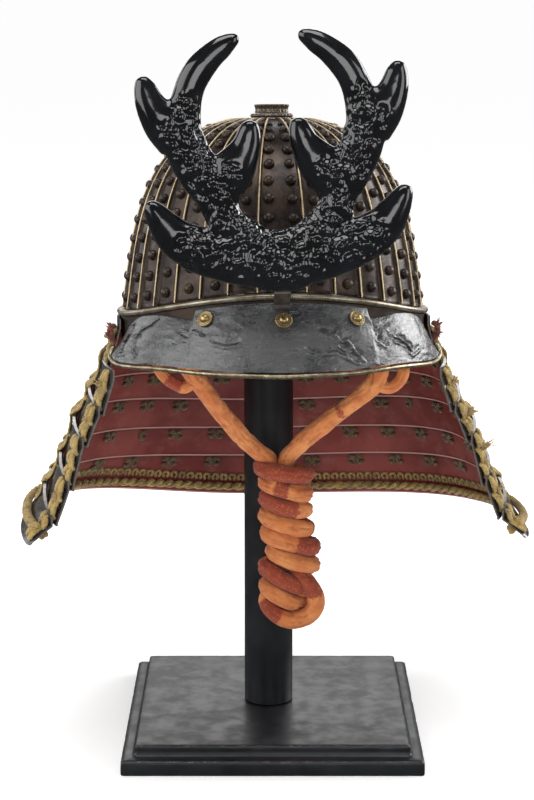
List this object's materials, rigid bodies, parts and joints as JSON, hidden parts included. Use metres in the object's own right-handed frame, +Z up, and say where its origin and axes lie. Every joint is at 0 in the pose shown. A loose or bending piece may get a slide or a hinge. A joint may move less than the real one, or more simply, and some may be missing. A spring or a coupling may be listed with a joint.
{
  "type": "kabuto samurai helmet on a plain display stand",
  "caption": "Ribbed, riveted samurai helmet with visor, antler crest, laced neck guard and wound chin cord, resting on the post of a plain black display stand.",
  "frame": {"origin": "The middle of the underside of the stand's square base.", "axes": "+Z points up, the helmet's front faces -Y and its wearer's left side faces +X."},
  "size_m": [0.3933, 0.3274, 0.5567],
  "materials": {
    "russet_iron": "russet-brown patinated iron",
    "rim_iron": "dark polished iron",
    "brass": "aged gilt brass",
    "visor_lacquer": "old black lacquer, cracked and chipped",
    "crest_lacquer": "glossy black lacquer on carved wood",
    "lame_lacquer": "black lacquer outside and red lacquer inside",
    "ochre_silk": "flat braided silk",
    "orange_silk": "soft crepe silk, patchy dye",
    "stand_paint": "satin black paint with worn edges"
  },
  "bodies": {
    "root": {"bowl": "russet_iron", "bowl_flange": "rim_iron", "rim_band": "rim_iron", "crown_collar": "brass", "crown_drum": "brass", "visor": "visor_lacquer", "visor_rim": "brass", "visor_rivet_left": "brass", "visor_rivet_centre": "brass", "visor_rivet_right": "brass", "crest_holder": "rim_iron", "crest": "crest_lacquer", "neck_lame_1": "lame_lacquer", "neck_lame_2": "lame_lacquer", "neck_lame_3": "lame_lacquer", "neck_lame_4": "lame_lacquer", "neck_lame_5": "lame_lacquer", "neck_lame_6": "lame_lacquer", "hem_cord_inner": "ochre_silk", "hem_cord_outer": "ochre_silk", "chin_cord_left": "orange_silk", "chin_cord_right": "orange_silk", "cord_loop_left": "orange_silk", "cord_loop_right": "orange_silk", "chin_cord_hank": "orange_silk", "stand_base": "stand_paint", "stand_post": "stand_paint"}
  },
  "joints": []
}
